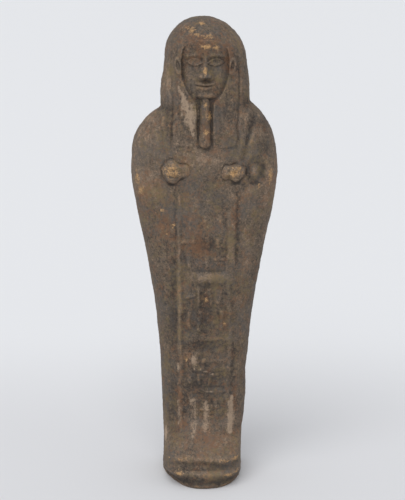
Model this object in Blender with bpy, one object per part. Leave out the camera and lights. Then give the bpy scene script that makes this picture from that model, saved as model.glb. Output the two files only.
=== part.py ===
"""A mummiform funerary figure of a pharaoh, carved together with its low plinth from one block of stone.

Metres, +Z up. The figure faces -Y and stands on Z = 0. The origin is on the underside, straight below
the figure's upright axis. Left and right are the viewer's.

The block is one closed surface. Each height has a plan section, a superellipse with its own width and
its own reach forwards and backwards. The wig's sections and the wrapped body's are merged into one, and
the carving is then raised from the front and back of that surface. A grid is laid over it, and a
Decimate modifier leaves facets only where the carving needs them.
"""

import math

import bmesh
import bpy
import numpy as np

# Heights. Levels below are shares of FIGURE_HEIGHT, counted up from the plinth's top.
FIGURE_HEIGHT = 0.1920
PLINTH_HEIGHT = 0.0080

# Widths, side to side
SHOULDER_WIDTH = 0.0630
ANKLE_WIDTH = 0.0342
FOOT_WIDTH = 0.0342
WIG_HEM_WIDTH = 0.0376
WIG_DOME_WIDTH = 0.0342

# Reach forwards (-Y) and backwards (+Y) from the upright axis
CHEST_REACH = 0.0165
SHIN_REACH = 0.0128
TOE_REACH = 0.0238
BACK_REACH = 0.0150
CALF_REACH = 0.0128
HEEL_REACH = 0.0136
WIG_FRONT_REACH = 0.0158
WIG_BACK_REACH = 0.0168

# How far the crown and the feet stand to the left of the upright axis
CROWN_LEAN = 0.0012
FOOT_SHIFT = 0.0006

# The plinth stands out a little beyond the wrapped feet. Its two front corners are worn away.
PLINTH_SIDE_REVEAL = 0.0003
PLINTH_FRONT_REVEAL = 0.0018
PLINTH_BACK_REVEAL = 0.0006
PLINTH_EDGE_ROUND = 0.0010
LEFT_CORNER_LOSS = 0.0012
RIGHT_CORNER_LOSS = 0.0004

# Heights of the carving above the surface around it
LAPPET_WIDTH = 0.0104
LAPPET_RISE = 0.0013
SIDE_LOCK_RISE = 0.0008
WIG_FALL_RISE = 0.0014
BEARD_RISE = 0.0028
BEARD_WIDTH = 0.0057
BEARD_GAP = 0.0004
BEARD_STANDS_OUT = 0.0007
LAPPET_FADE = 0.0140
HEM_ROUND = 0.0010
HEM_FADE = 0.0100
FALL_FADE = 0.0120
LOCK_PARTING_DEPTH = 0.0006
HANDLE_GROOVE_DEPTH = 0.0008
HANDLE_GROOVE_WIDTH = 0.0013
FIST_WIDTH = 0.0090
FIST_RISE = 0.0026
FINGER_DEPTH = 0.0004
CUFF_DEPTH = 0.0005
KNOT_HEIGHT = 0.0100
KNOT_RISE = 0.0014
KNOT_HOLLOW = 0.0011
BORDER_WIDTH = 0.0018
BROAD_BORDER_WIDTH = 0.0038
BORDER_RISE = 0.0006
STROKE_WIDTH = 0.0015
STROKE_RISE = 0.0005
PANEL_LEAN = 0.0007
PANEL_HALF_WIDTH = 0.0104
PANEL_SHIFT = 0.0002
BORDER_FADE = 0.0040
SUNK_BAND_DEPTH = 0.0005
SUNK_BAND_HEIGHT = 0.0030
TOE_GROOVE = 0.0011

# The face: its own sizes, on the usual thirds from hairline to chin
FACE_HEIGHT = 0.0238
FACE_WIDTH = 0.0196
FACE_REACH = 0.0153
EAR_WIDTH = 0.0032
EAR_RISE = 0.0009
EAR_HOLLOW = 0.0006

# Levels, as shares of FIGURE_HEIGHT
TOE_GROOVE_LEVEL = 0.0135
TOE_EDGE = 0.0260
INSTEP_TOP = 0.096
WIDEST = 0.663
LEFT_SHOULDER_TURN = 0.705
LEFT_SHOULDER_TOP = 0.830
RIGHT_SHOULDER_TURN = 0.692
RIGHT_SHOULDER_TOP = 0.850
DOME_FOOT = 0.911
LAPPET_HEM = 0.7244
LAPPET_START = 0.823
WIG_FALL_HEM = 0.740
CHIN = 0.828
BEARD_TIP = 0.7214
FIST_LEVEL = 0.6695
PANEL_TOP = 0.620
PANEL_FOOT = 0.0755
BROAD_BAR = 0.4365
NARROW_BARS = (0.292, 0.222, 0.170)
SUNK_BAND = 0.269

# Edges and joins
BLEND = 0.0012
EDGE_SOFTNESS = 0.0008
LEDGE_SOFTNESS = 0.0008
HEM_TO_CHEST = 0.0120
CARVING_START = 0.0035
CARVING_FADE = 0.0040

# Powers of the superellipses: 2 is an ellipse, and more is squarer
ROUNDNESS = 2.35
WIG_ROUNDNESS = 2.1
DOME_ROUNDNESS = 1.95
TOE_SQUARENESS = 4.6
LEFT_GROUND_ROUNDNESS = 1.85
RIGHT_GROUND_ROUNDNESS = 2.55
SHOULDER_SLOPE = 2.0
SHOULDER_FULLNESS = 2.6

# The grid laid over the block, and the facets that are kept of it
COLUMNS = 400
ROWS_PER_HEIGHT = 380
DOME_ROWS = 70
FRONT_CROWDING = 0.3
FACET_LIMIT = 9400
TRIM_DEPTH = 0.0015

STONE_COLOUR = (0.125, 0.100, 0.078, 1.0)
STONE_ROUGHNESS = 0.72


def level(share):
    """The height above the ground of a share of the figure's height."""
    return PLINTH_HEIGHT + share * FIGURE_HEIGHT


def curve_through(points):
    """A smooth function through (at, value) points that never overshoots them."""
    at, value = (np.array(column, float) for column in zip(*points))
    step, slope = np.diff(at), np.diff(value) / np.diff(at)
    turning = slope[:-1] * slope[1:] <= 0
    inner = 2 * slope[:-1] * slope[1:] / np.where(turning, 1.0, slope[:-1] + slope[1:])
    tangent = np.concatenate([[slope[0]], np.where(turning, 0.0, inner), [slope[-1]]])

    def curve(where):
        where = np.clip(where, at[0], at[-1])
        i = np.clip(np.searchsorted(at, where) - 1, 0, len(step) - 1)
        t = (where - at[i]) / step[i]
        rest = (1 + 2 * t) * (1 - t) ** 2 * value[i] + t * t * (3 - 2 * t) * value[i + 1]
        return rest + step[i] * (t * (1 - t) ** 2 * tangent[i] - t * t * (1 - t) * tangent[i + 1])

    return curve


def soft_step(distance, softness):
    """0 well below zero distance and 1 well above it, with a soft edge this wide."""
    t = np.clip(distance / softness + 0.5, 0.0, 1.0)
    return t * t * (3 - 2 * t)


def bell(distance, spread):
    """A smooth bump: 1 at no distance, falling away over the spread."""
    return np.exp(-((distance / spread) ** 2))


def joined(first, second, blend):
    """The further out of two surfaces, with a fillet where they meet."""
    share = np.clip(0.5 + 0.5 * (first - second) / blend, 0.0, 1.0)
    return second + (first - second) * share + blend * share * (1 - share)


def to_the_right(angle):
    """0 on the left side, 1 on the right side and a half at the front and back."""
    return 0.5 + 0.5 * np.cos(angle)


def shoulder_arc(angle, z, squareness):
    """1 below the shoulders, falling to 0 on top of them. The left shoulder is a little lower."""
    turn = level(LEFT_SHOULDER_TURN + (RIGHT_SHOULDER_TURN - LEFT_SHOULDER_TURN) * to_the_right(angle))
    top = level(LEFT_SHOULDER_TOP + (RIGHT_SHOULDER_TOP - LEFT_SHOULDER_TOP) * to_the_right(angle))
    rise = np.clip((z - turn) / (top - turn), 0, 1)
    return (1 - rise**squareness) ** (1 / squareness)


def body_width(z):
    """Half the wrapped body's width: narrow at the ankles, widest just above the elbows."""
    way_to_shoulder = curve_through([
        (0.047, 0.0), (0.110, 0.07), (0.180, 0.11), (0.250, 0.15), (0.350, 0.285), (0.500, 0.61),
        (0.590, 0.865), (0.640, 0.975), (WIDEST, 1.0), (0.702, 0.975),
    ])
    share = (z - PLINTH_HEIGHT) / FIGURE_HEIGHT
    ankle = ANKLE_WIDTH / 2
    widened = ankle + (SHOULDER_WIDTH / 2 - ankle) * way_to_shoulder(share)
    flare = (FOOT_WIDTH - ANKLE_WIDTH) / 2 * soft_step(0.022 - share, 0.02)
    return widened + flare


def body_front(angle, z):
    """How far the body reaches forwards: toes, a hollow instep, shins, and up to the chest."""
    way_to_chest = curve_through([
        (INSTEP_TOP, 0.0), (0.17, 0.05), (0.27, 0.38), (0.36, 0.66),
        (0.46, 0.82), (0.58, 0.93), (0.69, 1.0),
    ])
    way_to_toes = curve_through([
        (TOE_EDGE - 0.010, 1.0), (TOE_EDGE, 0.955), (TOE_EDGE + 0.009, 0.83), (0.055, 0.52),
        (0.075, 0.20), (INSTEP_TOP + 0.012, 0.0),
    ])
    share = (z - PLINTH_HEIGHT) / FIGURE_HEIGHT
    shin_to_chest = SHIN_REACH + (CHEST_REACH - SHIN_REACH) * way_to_chest(share)
    toes = (TOE_REACH - SHIN_REACH) * way_to_toes(share)
    under_toes = TOE_GROOVE * bell(share - TOE_GROOVE_LEVEL, 0.007) * (0.40 + 0.70 * to_the_right(angle))
    return shin_to_chest + toes - under_toes


def body_back(z):
    """How far the body reaches backwards: heels, calves, seat and shoulder blades."""
    way_to_back = curve_through([(0.10, 0.0), (0.25, 0.18), (0.45, 0.72), (0.56, 0.70), (0.69, 1.0)])
    share = (z - PLINTH_HEIGHT) / FIGURE_HEIGHT
    calf_to_back = CALF_REACH + (BACK_REACH - CALF_REACH) * way_to_back(share)
    heel = (HEEL_REACH - CALF_REACH) * soft_step(0.03 - share, 0.03)
    return calf_to_back + heel


def section_radius(angle, half_width, front, back, squareness):
    """The distance from the axis to a superellipse section, at an angle in plan."""
    reach = np.where(np.sin(angle) < 0, front, back)
    reach = np.maximum(reach, 1e-6)
    half_width = np.maximum(half_width, 1e-6)
    across, along = np.abs(np.cos(angle)) / half_width, np.abs(np.sin(angle)) / reach
    return (across**squareness + along**squareness) ** (-1 / squareness)


def body_radius(angle, z):
    """The wrapped body: nearly elliptical, with a straighter front at the toes."""
    near_toes = soft_step(level(0.055) - z, 0.045 * FIGURE_HEIGHT)
    squareness = ROUNDNESS + (TOE_SQUARENESS - ROUNDNESS) * near_toes
    half_width = body_width(z) * shoulder_arc(angle, z, SHOULDER_SLOPE)
    fullness = shoulder_arc(angle, z, SHOULDER_FULLNESS)
    front, back = body_front(angle, z) * fullness, body_back(z) * fullness
    return section_radius(angle, half_width, front, back, squareness)


def up_the_dome(z):
    """0 at the foot of the wig's dome and 1 at the crown."""
    return np.clip((z - level(DOME_FOOT)) / (level(1.0) - level(DOME_FOOT)), 0.0, 1.0)


def wig_radius(angle, z):
    """The bell-shaped wig: a dome on top, widening to its hem, and buried in the chest below that."""
    foot = level(DOME_FOOT)
    dome = np.sqrt(1 - up_the_dome(z) ** DOME_ROUNDNESS)
    down = np.clip((foot - z) / (foot - level(CHIN)), 0.0, 1.0)
    flare = (WIG_HEM_WIDTH - WIG_DOME_WIDTH) / 2 * np.sin(down * math.pi / 2)
    buried = soft_step(z - level(LAPPET_HEM), HEM_TO_CHEST)
    half_width = (WIG_DOME_WIDTH / 2 * dome + flare) * buried
    front, back = WIG_FRONT_REACH * dome * buried, WIG_BACK_REACH * dome * buried
    return section_radius(angle, half_width, front, back, WIG_ROUNDNESS)


def worn_corners(angle, z):
    """How much of the plinth's front corners is gone: most at the ground, little at the toes."""
    left = LEFT_CORNER_LOSS * bell(angle - math.radians(240), 0.40)
    right = bell(angle - math.radians(312), 0.35) + bell(angle + math.radians(48), 0.35)
    right = RIGHT_CORNER_LOSS * right
    return (left + right) * (1 - 0.80 * soft_step(z - 0.5 * PLINTH_HEIGHT, 1.1 * PLINTH_HEIGHT))


def plinth_radius(angle, z):
    """The plinth: the feet's outline moved out by its reveals, and worn rounder in front at the ground."""
    less_on_right = RIGHT_GROUND_ROUNDNESS - LEFT_GROUND_ROUNDNESS
    on_ground = LEFT_GROUND_ROUNDNESS + less_on_right * to_the_right(angle)
    near_feet = soft_step(z - 0.75 * PLINTH_HEIGHT, 0.9 * PLINTH_HEIGHT)
    squareness = on_ground + (TOE_SQUARENESS - on_ground) * near_feet
    squareness = np.where(np.sin(angle) < 0, squareness, TOE_SQUARENESS)
    half_width = FOOT_WIDTH / 2 + PLINTH_SIDE_REVEAL
    front, back = TOE_REACH + PLINTH_FRONT_REVEAL, HEEL_REACH + PLINTH_BACK_REVEAL
    radius = section_radius(angle, half_width, front, back, squareness)
    near_edge = bell(PLINTH_HEIGHT - z, PLINTH_EDGE_ROUND) + bell(z, 0.7 * PLINTH_EDGE_ROUND)
    return radius - PLINTH_EDGE_ROUND * near_edge


def block_radius(angle, z):
    """Wig, body and plinth merged into the one block."""
    body = joined(body_radius(angle, z), wig_radius(angle, z), BLEND)
    on_plinth = soft_step(z - PLINTH_HEIGHT, LEDGE_SOFTNESS)
    whole = plinth_radius(angle, z) * (1 - on_plinth) + body * on_plinth
    return whole - worn_corners(angle, z) * soft_step(level(0.05) - z, 0.04 * FIGURE_HEIGHT)


def opening_half_width(z):
    """Half the gap between the wig's two inner edges: round the face, then close beside the beard."""
    face, chin = FACE_WIDTH / 2, level(CHIN)
    beside_beard = BEARD_WIDTH / 2 + BEARD_GAP
    edge = curve_through([
        (chin - 0.34 * FACE_HEIGHT, beside_beard), (chin - 0.12 * FACE_HEIGHT, beside_beard * 1.08),
        (chin + 0.06 * FACE_HEIGHT, face * 0.66), (chin + 0.24 * FACE_HEIGHT, face * 0.87),
        (chin + 0.45 * FACE_HEIGHT, face * 0.985), (chin + 0.60 * FACE_HEIGHT, face),
        (chin + 0.80 * FACE_HEIGHT, face * 0.94), (chin + 0.94 * FACE_HEIGHT, face * 0.72),
        (chin + 0.99 * FACE_HEIGHT, face * 0.40), (chin + 1.005 * FACE_HEIGHT, face * -0.20),
    ])
    return edge(z)


def inside_opening(x, z):
    """How far inside the wig's inner edge each point lies, measured square to that edge."""
    nearby = FACE_HEIGHT / 80
    slope = (opening_half_width(z + nearby) - opening_half_width(z - nearby)) / (2 * nearby)
    return (opening_half_width(z) - np.abs(x)) / np.sqrt(1 + slope**2)


def face_reach(x, z):
    """The face alone, as how far forward each point lies. Calm and even, on the usual thirds."""
    half, third = FACE_WIDTH / 2, FACE_HEIGHT / 3
    side, up = np.abs(x) / half, (z - level(CHIN)) / third
    out = FACE_REACH - 0.36 * half * side**2.3 - 0.05 * third * np.clip(up - 2.1, 0, None) ** 2
    out = out + 0.09 * third * bell(side - 0.56, 0.32) * bell(up - 1.12, 0.45)

    socket = bell(side - 0.44, 0.33) * bell(up - 1.86, 0.24)
    eyeball = np.sqrt(np.clip(1 - ((side - 0.44) / 0.30) ** 2 - ((up - 1.84) / 0.19) ** 2, 0, None))
    brow_line = 2.20 - 0.25 * (side - 0.40) ** 2
    brow = bell(up - brow_line, 0.12) * soft_step(side - 0.13, 0.12) * soft_step(0.86 - side, 0.2)
    out = out + third * (0.13 * eyeball - 0.17 * socket + 0.055 * brow)

    down_nose = np.clip((2.20 - up) / 1.10, 0.0, 1.0)
    ridge = (0.07 + 0.33 * down_nose**1.2) * bell(side, 0.11 + 0.12 * down_nose**1.4)
    nostril = 0.13 * bell(side - 0.23, 0.10) * bell(up - 1.16, 0.13)
    nose_end = soft_step(up - 1.04 + 0.35 * side, 0.22)
    out = out + third * (ridge * nose_end * soft_step(2.30 - up, 0.5) + nostril)

    lip_line = 0.63 + 0.05 * (side / 0.36) ** 2
    lips = np.sqrt(np.clip(1 - (side / 0.42) ** 2, 0, None))
    upper_lip = bell(up - lip_line - 0.10, 0.08) - 0.3 * bell(side, 0.06) * bell(up - lip_line - 0.20, 0.06)
    lower_lip = bell(up - lip_line + 0.12, 0.10) * lips
    parting = bell(up - lip_line, 0.045)
    out = out + 0.12 * third * bell(side, 0.50) * bell(up - 0.60, 0.42)
    out = out + third * lips * (0.085 * upper_lip + 0.085 * lower_lip - 0.06 * parting)
    return out + 0.14 * third * bell(side, 0.34) * bell(up - 0.14, 0.20)


def carve_face(x, z, reach):
    """Sets the face and the throat back between the wig's inner edges."""
    beside = np.where(x < 0, math.pi, 0.0)
    throat = np.maximum(CHEST_REACH * shoulder_arc(beside, z, SHOULDER_FULLNESS), 0.965 * FACE_REACH)
    jaw = level(CHIN) + 0.12 * FACE_HEIGHT * (2 * x / FACE_WIDTH) ** 2
    above_jaw = soft_step(z - jaw, 2 * EDGE_SOFTNESS)
    inside = throat * (1 - above_jaw) + face_reach(x, z) * above_jaw
    gap = soft_step(inside_opening(x, z), EDGE_SOFTNESS) * soft_step(z - level(LAPPET_HEM), EDGE_SOFTNESS)
    return reach * (1 - gap) + inside * gap


def ears(x, z):
    """Two small ears, set in front of the wig from the brow to the nose."""
    third = FACE_HEIGHT / 3
    across = (np.abs(x) - FACE_WIDTH / 2 - 0.4 * EAR_WIDTH) / (EAR_WIDTH / 2)
    along = (z - level(CHIN) - 1.62 * third) / (0.46 * third)
    away = np.sqrt((across - 0.35 * along) ** 2 + along**2)
    return EAR_RISE * soft_step(1 - away, 0.5) - EAR_HOLLOW * soft_step(0.45 - away, 0.4)


def lappets(x, z):
    """The wig's two front ends beside the beard, and the lower locks that hang outside them."""
    side = np.abs(x)
    lappet_edge = BEARD_WIDTH / 2 + LAPPET_WIDTH
    down = np.clip((level(LAPPET_START) - z) / (level(LAPPET_START) - level(LAPPET_HEM)), 0.0, 1.0)
    lock_edge = WIG_HEM_WIDTH / 2 * (1 - 0.10 * down)
    started = soft_step(level(LAPPET_START) - 0.3 * LAPPET_FADE - z, LAPPET_FADE)
    beside_face = soft_step(-inside_opening(x, z), EDGE_SOFTNESS)
    outer_corner = bell(side - lappet_edge, 2.2 * HEM_ROUND)
    inner_corner = bell(side - BEARD_WIDTH / 2, 2.0 * HEM_ROUND)
    hem_level = level(LAPPET_HEM) + HEM_ROUND * (outer_corner + 0.8 * inner_corner)
    hem = soft_step(z - hem_level, EDGE_SOFTNESS)
    lappet = soft_step(lappet_edge - side, EDGE_SOFTNESS) * hem
    lock = soft_step(lock_edge - side, 1.4 * EDGE_SOFTNESS)
    lock = lock * soft_step(z - level(LAPPET_HEM) + HEM_ROUND, 6 * HEM_ROUND)
    parting = bell(side - lappet_edge - 0.5 * EDGE_SOFTNESS, 0.9 * EDGE_SOFTNESS) * lock
    below_brow = soft_step(level(CHIN) + 0.8 * FACE_HEIGHT - z, 0.8 * FACE_HEIGHT)
    parting = LOCK_PARTING_DEPTH * parting * below_brow
    raised = SIDE_LOCK_RISE * lock + (LAPPET_RISE - SIDE_LOCK_RISE) * lappet
    raised = raised * (1 - 0.55 * soft_step(level(LAPPET_HEM) + 0.6 * HEM_FADE - z, HEM_FADE))
    return (raised * started - parting) * beside_face


def beard(x, z, reach):
    """The long ceremonial beard: a half-round bar from the chin down to the lappets' hem."""
    top, tip = level(CHIN) + 0.15 * BEARD_RISE, level(BEARD_TIP)
    down = np.clip((top - z) / (top - tip), 0.0, 1.0)
    half_width = BEARD_WIDTH / 2 * (0.74 + 0.26 * down)
    to_tip = np.clip((z - tip) / half_width, 0.0, 1.0)
    round_tip = np.sqrt(np.clip(1 - (1 - to_tip) ** 2, 1e-9, 1))
    half_width = half_width * round_tip
    bar = np.sqrt(np.clip(1 - (x / half_width) ** 2, 0.0, 1.0))
    front_line = FACE_REACH + BEARD_STANDS_OUT + (CHEST_REACH + LAPPET_RISE - FACE_REACH) * down
    surface = front_line - BEARD_RISE * (1 - bar * round_tip)
    shown = (np.abs(x) < half_width) & (z > tip) & (z < top)
    return np.where(shown, np.maximum(reach, surface), reach)


def along_bar(x, z, start, end):
    """How far along a straight line on the front each point lies, from 0 to 1, and how far away from it."""
    (x0, z0), (x1, z1) = start, end
    length = math.hypot(x1 - x0, z1 - z0)
    dx, dz = (x1 - x0) / length, (z1 - z0) / length
    t = np.clip((x - x0) * dx + (z - z0) * dz, 0.0, length)
    return t / length, np.hypot(x - x0 - t * dx, z - z0 - t * dz)


def bar(x, z, start, end, width, rise):
    """A raised bar with round ends."""
    away = along_bar(x, z, start, end)[1]
    return rise * soft_step(width / 2 - away, EDGE_SOFTNESS)


def fist_place(side):
    """The centre of a fist's knuckles: level and well apart, the right one a little nearer the middle."""
    return (side * 0.4145 - 0.0035) * SHOULDER_WIDTH / 2, level(FIST_LEVEL)


def fists(x, z):
    """Two fists that come out of the wrapping, each tapering inwards to its wrist, with their fingers."""
    out = np.zeros_like(x)
    for side in (-1, 1):
        knuckle_x, knuckle_z = fist_place(side)
        length, lift = (0.41 - 0.09 * side) * FIST_WIDTH, (0.05 - 0.04 * side) * FIST_WIDTH
        wrist = knuckle_x - side * length, knuckle_z + lift
        inwards, away = along_bar(x, z, (knuckle_x, knuckle_z), wrist)
        across = FIST_WIDTH * (0.93 - 0.07 * side)
        away = away / (across / 2 * (1 - (0.35 - 0.15 * side) * inwards))
        hand = FIST_RISE * (1 - (0.55 - 0.20 * side) * inwards) * np.clip(1 - away**2.2, 0.0, 1.0) ** 0.7
        up = (z - knuckle_z) / FIST_WIDTH
        grip = bell(np.sin(4 * math.pi * up), 0.40) * soft_step(0.80 - away, 0.3) * (1 - inwards)
        out = out + hand - FINGER_DEPTH * grip - CUFF_DEPTH * bell(away - 1.14, 0.15)
    return out


def knot(x, z):
    """The small boss in its sunk oval, outside the right fist."""
    fist_x, fist_z = fist_place(1)
    across = (x - fist_x - 0.953 * FIST_WIDTH) / (0.39 * KNOT_HEIGHT)
    along = (z - fist_z) / (0.54 * KNOT_HEIGHT)
    boss = KNOT_RISE * bell(np.hypot(across + 0.18, 0.8 * along), 0.42)
    return boss - KNOT_HOLLOW * soft_step(1 - np.hypot(across, along), 0.8)


def handle_groove(x, z):
    """The line that parts the right lock from the arm, running down and inwards to the fist."""
    top = 0.640 * SHOULDER_WIDTH / 2, level(0.785)
    foot = 0.515 * SHOULDER_WIDTH / 2, level(0.700)
    return -HANDLE_GROOVE_DEPTH * bell(along_bar(x, z, top, foot)[1], HANDLE_GROOVE_WIDTH)


def panel_edge(side, z):
    """The panel's upright borders lean in a little towards the feet."""
    up = np.clip((z - level(PANEL_FOOT)) / (level(PANEL_TOP) - level(PANEL_FOOT)), 0.0, 1.0)
    return PANEL_SHIFT + side * (PANEL_HALF_WIDTH + PANEL_LEAN * up)


def panel(x, z):
    """Two upright borders and the bars that part the panel into fields. The right border starts broad."""
    foot, top, broad_bar = level(PANEL_FOOT), level(PANEL_TOP), level(BROAD_BAR)
    out = np.zeros_like(x)
    for side in (-1, 1):
        broadened = (side > 0) * soft_step(z - broad_bar, BORDER_FADE)
        width = BORDER_WIDTH + (BROAD_BORDER_WIDTH - BORDER_WIDTH) * broadened
        upright = soft_step(width / 2 - np.abs(x - panel_edge(side, z)), EDGE_SOFTNESS)
        upright = upright * soft_step(z - foot, BORDER_FADE) * soft_step(top - z, 1.5 * BORDER_FADE)
        out = np.maximum(out, BORDER_RISE * upright)
    for share in (BROAD_BAR,) + NARROW_BARS:
        z_bar, width = level(share), BROAD_BORDER_WIDTH if share == BROAD_BAR else BORDER_WIDTH
        left, right = panel_edge(-1, z_bar) + 3.2 * BORDER_WIDTH, panel_edge(1, z_bar)
        out = np.maximum(out, bar(x, z, (left, z_bar), (right, z_bar), width, BORDER_RISE))
    inside = soft_step(panel_edge(1, z) - BORDER_WIDTH - np.abs(x), BORDER_WIDTH)
    return out - SUNK_BAND_DEPTH * inside * bell(z - level(SUNK_BAND), SUNK_BAND_HEIGHT)


def strokes(x, z):
    """Rows of short plain strokes in the panel's fields, where the worn signs stand. They spell nothing."""
    out = np.zeros_like(x)
    upper_fields = (0.574, 0.4565, 3, 3), (0.419, 0.308, 2, 4)
    lower_fields = (0.250, 0.234, 1, 3), (0.210, 0.182, 1, 4), (0.158, 0.093, 1, 3)
    for field, (top, foot, rows, count) in enumerate(upper_fields + lower_fields):
        row_height = (level(top) - level(foot)) / rows
        for row in range(rows):
            middle = level(top) - (row + 0.5) * row_height
            left, right = panel_edge(-1, middle) + BORDER_WIDTH, panel_edge(1, middle) - BORDER_WIDTH
            for place in range(count):
                shift = 0.14 * math.sin(5 * row + 3 * place + field)
                centre = left + (place + 0.5 + shift) / count * (right - left)
                lean = 0.12 * math.sin(4 * place + 2 * field + row)
                half = (0.30 + 0.10 * math.sin(7 * place + 4 * row + 2 * field)) * row_height
                lies_flat = (2 * place + row + field) % 5 == 1
                dx, dz = (0.32 * (right - left) / count, lean * half) if lies_flat else (lean * half, half)
                ends = (centre - dx, middle - dz), (centre + dx, middle + dz)
                out = np.maximum(out, bar(x, z, *ends, STROKE_WIDTH, STROKE_RISE))
    return out


def back_of_wig(x, z):
    """The wig's back end, hanging between the shoulder blades."""
    half_width = 0.44 * SHOULDER_WIDTH / 2 * (1 + 0.5 * soft_step(z - level(0.79), 1.6 * FALL_FADE))
    fall = soft_step(half_width - np.abs(x), EDGE_SOFTNESS)
    fall = fall * soft_step(z - level(WIG_FALL_HEM), EDGE_SOFTNESS)
    return WIG_FALL_RISE * fall * soft_step(level(LAPPET_START) - 0.2 * FALL_FADE - z, FALL_FADE)


def chips(x, y, z):
    """Losses along the edges, each a shallow dent: how far each point has gone in.

    Places, sizes and depths are shares of half the shoulders' width, and levels of the figure's height.
    """
    lost = np.zeros_like(x)
    half = SHOULDER_WIDTH / 2
    for at_x, at_y, share, size, depth in (
        (-0.62, 0.00, 0.888, 0.095, 0.022),
        (0.86, -0.10, 0.789, 0.083, 0.025),
        (0.60, -0.03, 0.205, 0.133, 0.013),
        (0.98, -0.06, 0.717, 0.254, 0.019),
        (0.99, -0.19, 0.640, 0.190, 0.019),
    ):
        away = np.sqrt((x - at_x * half) ** 2 + (y - at_y * half) ** 2 + (z - level(share)) ** 2)
        lost = lost + depth * half * bell(away, size * half)
    return lost


def sideways(z):
    """How far off the axis each level stands: the crown and the feet are a little to the left."""
    near_ground = soft_step(level(0.07) - z, 0.15 * FIGURE_HEIGHT)
    return -CROWN_LEAN * up_the_dome(z) ** 1.2 - FOOT_SHIFT * near_ground


def row_levels():
    """The grid's heights: even from below the ground up to the dome, then closing in on the crown."""
    foot, crown = level(DOME_FOOT), level(1.0)
    upright = np.linspace(-TRIM_DEPTH, foot, int(ROWS_PER_HEIGHT * DOME_FOOT), endpoint=False)
    dome = foot + (crown - foot) * np.sin(np.linspace(0.0, math.pi / 2, DOME_ROWS))
    return np.concatenate([upright, dome])


def carved_surface():
    """The X, Y and Z of every grid point, one row of the grid for each level."""
    around = np.linspace(0.0, 2 * math.pi, COLUMNS + 1)
    angle, z = np.meshgrid(around - FRONT_CROWDING * np.cos(around), row_levels())
    radius = block_radius(angle, z)
    x, y = radius * np.cos(angle) + sideways(z), radius * np.sin(angle)
    inward = chips(x, y, z)
    x, y = x - inward * np.cos(angle), y - inward * np.sin(angle)
    reach = np.clip(-y, 0.0, None)
    raised = carve_face(x, z, reach) + lappets(x, z) + ears(x, z)
    raised = raised + fists(x, z) + knot(x, z) + handle_groove(x, z)
    raised = raised + np.maximum(panel(x, z), strokes(x, z))
    raised = beard(x, z, raised)
    front = -(reach + (raised - reach) * soft_step(reach - CARVING_START, CARVING_FADE))
    back = y + back_of_wig(x, z) * soft_step(y - CARVING_START, CARVING_FADE)
    y = np.where(y < 0, front, back)
    x[-1, :], y[-1, :] = x[-1, :].mean(), y[-1, :].mean()
    return x, y, z


def stone_material():
    """Dark brown-grey stone, dull from handling and age."""
    material = bpy.data.materials.new("aged_stone")
    material.use_nodes = True
    shader = material.node_tree.nodes["Principled BSDF"]
    shader.inputs["Base Color"].default_value = STONE_COLOUR
    shader.inputs["Roughness"].default_value = STONE_ROUGHNESS
    shader.inputs["Metallic"].default_value = 0.0
    return material


def wrapped_grid(name, collection):
    """A flat grid laid over the carved surface, closed up the back, at the crown and underneath."""
    x, y, z = carved_surface()
    rows, columns = z.shape
    grid = bmesh.new()
    bmesh.ops.create_grid(grid, x_segments=columns - 1, y_segments=rows - 1, size=1.0)
    mesh = bpy.data.meshes.new(name)
    grid.to_mesh(mesh)
    grid.free()
    mesh.vertices.foreach_set("co", np.stack([x, y, z], axis=-1).ravel())
    closed = bmesh.new()
    closed.from_mesh(mesh)
    bmesh.ops.remove_doubles(closed, verts=closed.verts, dist=1e-6)
    rim = [edge for edge in closed.edges if edge.is_boundary]
    bmesh.ops.contextual_create(closed, geom=rim)
    bmesh.ops.recalc_face_normals(closed, faces=closed.faces)
    closed.to_mesh(mesh)
    closed.free()
    carved = bpy.data.objects.new(name, mesh)
    collection.objects.link(carved)
    return carved


def new_collection(name):
    collection = bpy.data.collections.new(name)
    bpy.context.scene.collection.children.link(collection)
    return collection


def ground_cutter(collection):
    """A block whose top is the ground. It trims the carved grid to a flat underside."""
    block = bmesh.new()
    bmesh.ops.create_cube(block, size=1.0)
    size = np.array([2 * SHOULDER_WIDTH, 2 * SHOULDER_WIDTH, 4 * TRIM_DEPTH])
    bmesh.ops.scale(block, vec=size, verts=block.verts)
    bmesh.ops.translate(block, vec=(0.0, 0.0, -size[2] / 2), verts=block.verts)
    mesh = bpy.data.meshes.new("ground_cutter")
    block.to_mesh(mesh)
    block.free()
    cutter = bpy.data.objects.new("ground_cutter", mesh)
    cutter.hide_render = True
    cutter.display_type = "WIRE"
    collection.objects.link(cutter)
    return cutter


def figure_on_plinth(collection, cutters):
    """The whole work: the carved grid, thinned to facets, with its underside trimmed flat."""
    figure = wrapped_grid("figure_on_plinth", collection)
    figure.data.materials.append(stone_material())
    thin = figure.modifiers.new("Facets", "DECIMATE")
    thin.ratio = FACET_LIMIT / (2 * len(figure.data.polygons))
    trim = figure.modifiers.new("Flat underside", "BOOLEAN")
    trim.operation = "DIFFERENCE"
    trim.object = ground_cutter(cutters)
    return figure


def main():
    for old in list(bpy.data.objects):
        bpy.data.objects.remove(old, do_unlink=True)
    statue = new_collection("Pharaoh statue")
    cutters = new_collection("Cutters")
    figure_on_plinth(statue, cutters)


main()
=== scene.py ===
import math

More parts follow.
